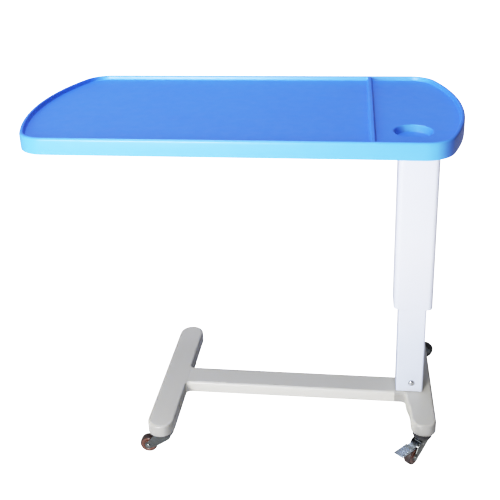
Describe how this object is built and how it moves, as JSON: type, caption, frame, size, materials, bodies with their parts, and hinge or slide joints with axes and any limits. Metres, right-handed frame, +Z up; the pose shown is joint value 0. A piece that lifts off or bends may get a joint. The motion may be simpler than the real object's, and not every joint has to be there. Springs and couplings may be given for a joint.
{
  "type": "overbed table",
  "caption": "Height-adjustable overbed table: rimmed moulded tray with cup recess on a telescoping gas-spring column, H-shaped base on swivel castors with foot brakes.",
  "frame": {"origin": "on the floor, under the middle of the whole table's outline", "axes": "+X along the tray towards the column, +Y away from the seated user, +Z up"},
  "size_m": [0.856, 0.4575, 0.741],
  "materials": {
    "tray_blue": "satin moulded plastic, fine grain",
    "base_cover": "satin moulded plastic, warm light grey",
    "column_white": "white powder coat",
    "frame_paint": "grey powder coat",
    "zinc_steel": "zinc plated",
    "bright_steel": "polished",
    "nylon": "moulded nylon",
    "amber_hub": "dark amber plastic",
    "castor_tyre": "dark reddish-brown elastomer",
    "black_plastic": "moulded plastic"
  },
  "bodies": {
    "base": {"base_frame": "frame_paint", "beam_base_plate": "nylon", "cross_beam_cover": "base_cover", "left_foot_cover": "base_cover", "left_foot_base_plate": "nylon", "right_foot_cover": "base_cover", "right_foot_base_plate": "nylon", "inner_column": "column_white", "column_top_glide": "nylon", "column_cross_bolt": "bright_steel", "column_cross_nut": "bright_steel", "gas_spring_cylinder": "black_plastic", "castor_cap_front_left": "black_plastic", "castor_cap_rear_left": "black_plastic", "castor_cap_front_right": "black_plastic", "castor_cap_rear_right": "black_plastic", "castor_stem_front_left": "zinc_steel", "castor_stem_rear_left": "zinc_steel", "castor_stem_front_right": "zinc_steel", "castor_stem_rear_right": "zinc_steel"},
    "tray_carriage": {"tray_top": "tray_blue", "tray_underpan": "tray_blue", "tray_frame": "frame_paint", "tray_screw_1": "zinc_steel", "tray_screw_2": "zinc_steel", "tray_screw_3": "zinc_steel", "tray_screw_4": "zinc_steel", "tray_screw_5": "zinc_steel", "tray_screw_6": "zinc_steel", "outer_sleeve": "column_white", "sleeve_guide_bush": "nylon", "gas_spring_rod": "bright_steel", "rod_lock_nut": "zinc_steel", "lever_bracket": "frame_paint", "lever_pivot_pin": "bright_steel"},
    "release_lever": {"release_lever": "zinc_steel", "lever_grip": "black_plastic"},
    "release_pin": {"release_pin": "bright_steel"},
    "swivel_front_left": {"castor_fork_front_left": "zinc_steel", "castor_axle_front_left": "bright_steel"},
    "wheel_front_left": {"castor_hub_front_left": "amber_hub", "castor_tyre_front_left": "castor_tyre"},
    "swivel_rear_left": {"castor_fork_rear_left": "zinc_steel", "castor_axle_rear_left": "bright_steel", "pedal_pin_rear_left": "bright_steel"},
    "wheel_rear_left": {"castor_hub_rear_left": "amber_hub", "castor_tyre_rear_left": "castor_tyre"},
    "brake_rear_left": {"brake_pedal_rear_left": "zinc_steel"},
    "swivel_front_right": {"castor_fork_front_right": "zinc_steel", "castor_axle_front_right": "bright_steel", "pedal_pin_front_right": "bright_steel"},
    "wheel_front_right": {"castor_hub_front_right": "amber_hub", "castor_tyre_front_right": "castor_tyre"},
    "brake_front_right": {"brake_pedal_front_right": "zinc_steel"},
    "swivel_rear_right": {"castor_fork_rear_right": "zinc_steel", "castor_axle_rear_right": "bright_steel"},
    "wheel_rear_right": {"castor_hub_rear_right": "amber_hub", "castor_tyre_rear_right": "castor_tyre"}
  },
  "joints": [
    {"name": "column_lift", "type": "slide", "parent": "base", "child": "tray_carriage", "axis": [0, 0, 1], "range_m": [0, 0.25]},
    {"name": "release_squeeze", "type": "hinge", "parent": "tray_carriage", "child": "release_lever", "pos_m": [0.3725, -0.0113, 0.699], "axis": [0, -1, 0], "range_deg": [0, 5], "stiffness_Nm_per_rad": 1.5},
    {"name": "release_pin_push", "type": "slide", "parent": "tray_carriage", "child": "release_pin", "axis": [0, 0, -1], "range_m": [0, 0.0022]},
    {"name": "castor_swivel_front_left", "type": "hinge", "parent": "base", "child": "swivel_front_left", "pos_m": [-0.178, -0.1658, 0.045], "axis": [0, 0, 1], "continuous": true},
    {"name": "wheel_spin_front_left", "type": "hinge", "parent": "swivel_front_left", "child": "wheel_front_left", "pos_m": [-0.214, -0.1658, 0.019], "axis": [0, -1, 0], "continuous": true},
    {"name": "castor_swivel_rear_left", "type": "hinge", "parent": "base", "child": "swivel_rear_left", "pos_m": [-0.1815, 0.1487, 0.045], "axis": [0, 0, 1], "continuous": true},
    {"name": "wheel_spin_rear_left", "type": "hinge", "parent": "swivel_rear_left", "child": "wheel_rear_left", "pos_m": [-0.1815, 0.1127, 0.019], "axis": [1, 0, 0], "continuous": true},
    {"name": "brake_press_rear_left", "type": "hinge", "parent": "swivel_rear_left", "child": "brake_rear_left", "pos_m": [-0.1815, 0.1357, 0.0399], "axis": [1, 0, 0], "range_deg": [0, 9]},
    {"name": "castor_swivel_front_right", "type": "hinge", "parent": "base", "child": "swivel_front_right", "pos_m": [0.37, -0.1298, 0.045], "axis": [0, 0, 1], "continuous": true},
    {"name": "wheel_spin_front_right", "type": "hinge", "parent": "swivel_front_right", "child": "wheel_front_right", "pos_m": [0.34734, -0.15778, 0.019], "axis": [0.7771, -0.6293, 0], "continuous": true},
    {"name": "brake_press_front_right", "type": "hinge", "parent": "swivel_front_right", "child": "brake_front_right", "pos_m": [0.36182, -0.1399, 0.0399], "axis": [0.7771, -0.6293, 0], "range_deg": [0, 9]},
    {"name": "castor_swivel_rear_right", "type": "hinge", "parent": "base", "child": "swivel_rear_right", "pos_m": [0.375, 0.1952, 0.045], "axis": [0, 0, 1], "continuous": true},
    {"name": "wheel_spin_rear_right", "type": "hinge", "parent": "swivel_rear_right", "child": "wheel_rear_right", "pos_m": [0.40618, 0.2132, 0.019], "axis": [-0.5, 0.866, 0], "continuous": true}
  ],
  "couplings": [
    {"joint": "release_pin_push", "follows": "release_squeeze", "m_per_rad": 0.025}
  ]
}
